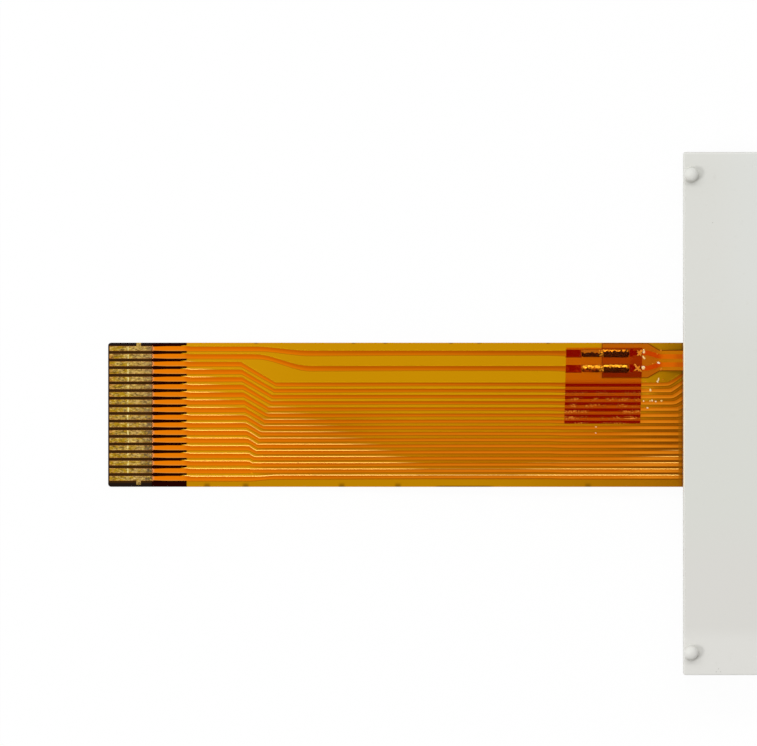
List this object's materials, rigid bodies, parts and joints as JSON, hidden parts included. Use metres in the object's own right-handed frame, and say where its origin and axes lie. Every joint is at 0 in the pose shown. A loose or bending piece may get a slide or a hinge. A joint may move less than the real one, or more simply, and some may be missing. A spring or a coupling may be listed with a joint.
{
  "type": "segment lcd module",
  "caption": "Flat segment display module lying face down: glass cell in a white moulded backlight tray with corner posts, and an amber flexible circuit with a row of gold contacts.",
  "frame": {"origin": "middle of the housing's outline, on the plane of the display face it lies on", "axes": "+Z out of the back, -X along the flex towards its contacts, +Y across"},
  "size_m": [0.0877, 0.0342, 0.0056],
  "materials": {
    "polarizer": "smooth grey-green film",
    "cell_glass": "cut float glass",
    "electrode": "thin clear conductor",
    "crystal": "clear fluid film",
    "seal_resin": "cured resin",
    "white_tape": "double-sided tape",
    "white_sheet": "matt white film",
    "clear_acrylic": "polished clear acrylic",
    "white_moulding": "fine satin moulded surface",
    "led_package": "white moulded package",
    "phosphor": "yellow silicone",
    "amber_film": "glossy amber polyimide film",
    "copper": "etched copper foil",
    "gold": "worn gold plating",
    "black_stiffener": "black film",
    "bond_film": "conductive adhesive film",
    "solder": "bright tin solder",
    "amber_tape": "wrinkled dark amber tape"
  },
  "bodies": {
    "root": {"front_polarizer": "polarizer", "front_glass": "cell_glass", "segment_electrodes": "electrode", "liquid_crystal": "crystal", "perimeter_seal": "seal_resin", "port_plug": "seal_resin", "common_electrodes": "electrode", "rear_glass": "cell_glass", "rear_polarizer": "polarizer", "mounting_tape": "white_tape", "diffuser_sheet": "white_sheet", "light_guide": "clear_acrylic", "reflector_sheet": "white_sheet", "backlight_housing": "white_moulding", "led_body_1": "led_package", "led_body_2": "led_package", "led_phosphor_1": "phosphor", "led_phosphor_2": "phosphor", "led_flex_film": "amber_film", "led_flex_copper": "copper", "led_flex_coverlay": "amber_film", "flex_base_film": "amber_film", "flex_copper": "copper", "contact_plating": "gold", "flex_coverlay": "amber_film", "flex_stiffener": "black_stiffener", "bond_strip": "bond_film", "ledge_sealant": "seal_resin", "solder_joint_1": "solder", "solder_joint_2": "solder", "insulating_tape": "amber_tape"}
  },
  "joints": []
}
